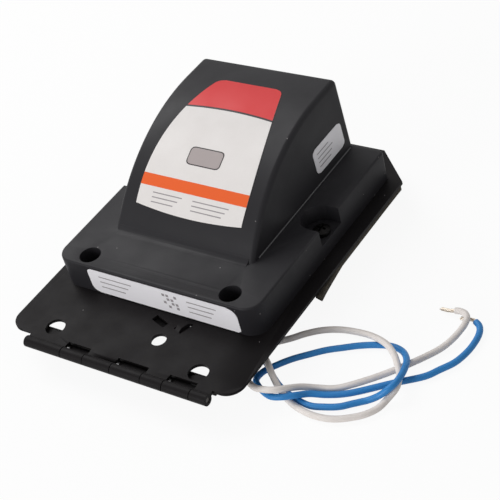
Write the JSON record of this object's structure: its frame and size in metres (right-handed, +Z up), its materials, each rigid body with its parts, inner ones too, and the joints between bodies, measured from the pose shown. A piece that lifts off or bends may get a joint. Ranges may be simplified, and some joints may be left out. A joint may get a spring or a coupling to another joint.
{
  "type": "ignition transformer",
  "caption": "Potted burner ignition transformer on a hinged steel base plate, with free supply leads and sprung high-voltage contacts underneath.",
  "frame": {"origin": "middle of the base plate and its hinge, on the surface the tub stands on", "axes": "+X to the right across the plate, +Y from the hinge to the back, +Z up"},
  "size_m": [0.2012, 0.1728, 0.0684],
  "materials": {
    "plate_steel": "satin black enamel on sheet steel",
    "pin_steel": "drawn steel wire",
    "housing_plastic": "fine-grained black moulding",
    "compound": "poured black compound",
    "board": "lacquered board",
    "ferrite": "sintered ferrite",
    "bobbin_plastic": "natural nylon",
    "copper": "enamelled copper wire",
    "capacitor_sleeve": "shrunk sleeve",
    "film_case": "dipped case",
    "sink_aluminium": "mill finish extrusion",
    "transistor_case": "moulded case",
    "porcelain": "glazed",
    "stud_brass": "turned",
    "spring_steel": "bright spring wire",
    "bush_rubber": "moulded rubber",
    "screw_steel": "black oxide",
    "foam": "open foam strip",
    "label_white": "semi-gloss printed label, white with a red head",
    "label_silver": "satin silver label",
    "white_insulation": "matt lead insulation",
    "blue_insulation": "matt lead insulation",
    "tinned_copper": "tinned strands"
  },
  "bodies": {
    "transformer": {"mounting_plate": "plate_steel", "hinge_pin": "pin_steel", "housing": "housing_plastic", "potting_compound": "compound", "circuit_board": "board", "ferrite_core": "ferrite", "winding_bobbin": "bobbin_plastic", "primary_winding": "copper", "secondary_winding_left": "copper", "secondary_winding_right": "copper", "filter_capacitor": "capacitor_sleeve", "film_capacitor": "film_case", "heat_sink": "sink_aluminium", "switching_transistor": "transistor_case", "terminal_insulator_left": "porcelain", "terminal_insulator_right": "porcelain", "terminal_stud_left": "stud_brass", "terminal_stud_right": "stud_brass", "contact_spring_left": "spring_steel", "contact_spring_right": "spring_steel", "lead_bushing": "bush_rubber", "housing_screws": "screw_steel", "foam_strip_left": "foam", "foam_strip_right": "foam", "foam_strip_rear": "foam", "front_label": "label_white", "strip_label": "label_silver", "side_label": "label_silver", "white_lead": "white_insulation", "white_lead_tip": "tinned_copper", "blue_lead": "blue_insulation", "blue_lead_tip": "tinned_copper"},
    "leaf": {"hinge_leaf": "plate_steel"}
  },
  "joints": [
    {"name": "plate_hinge", "type": "hinge", "parent": "transformer", "child": "leaf", "pos_m": [0, -0.08378, 0.0135], "axis": [-1, 0, 0], "range_deg": [0, 180]}
  ]
}
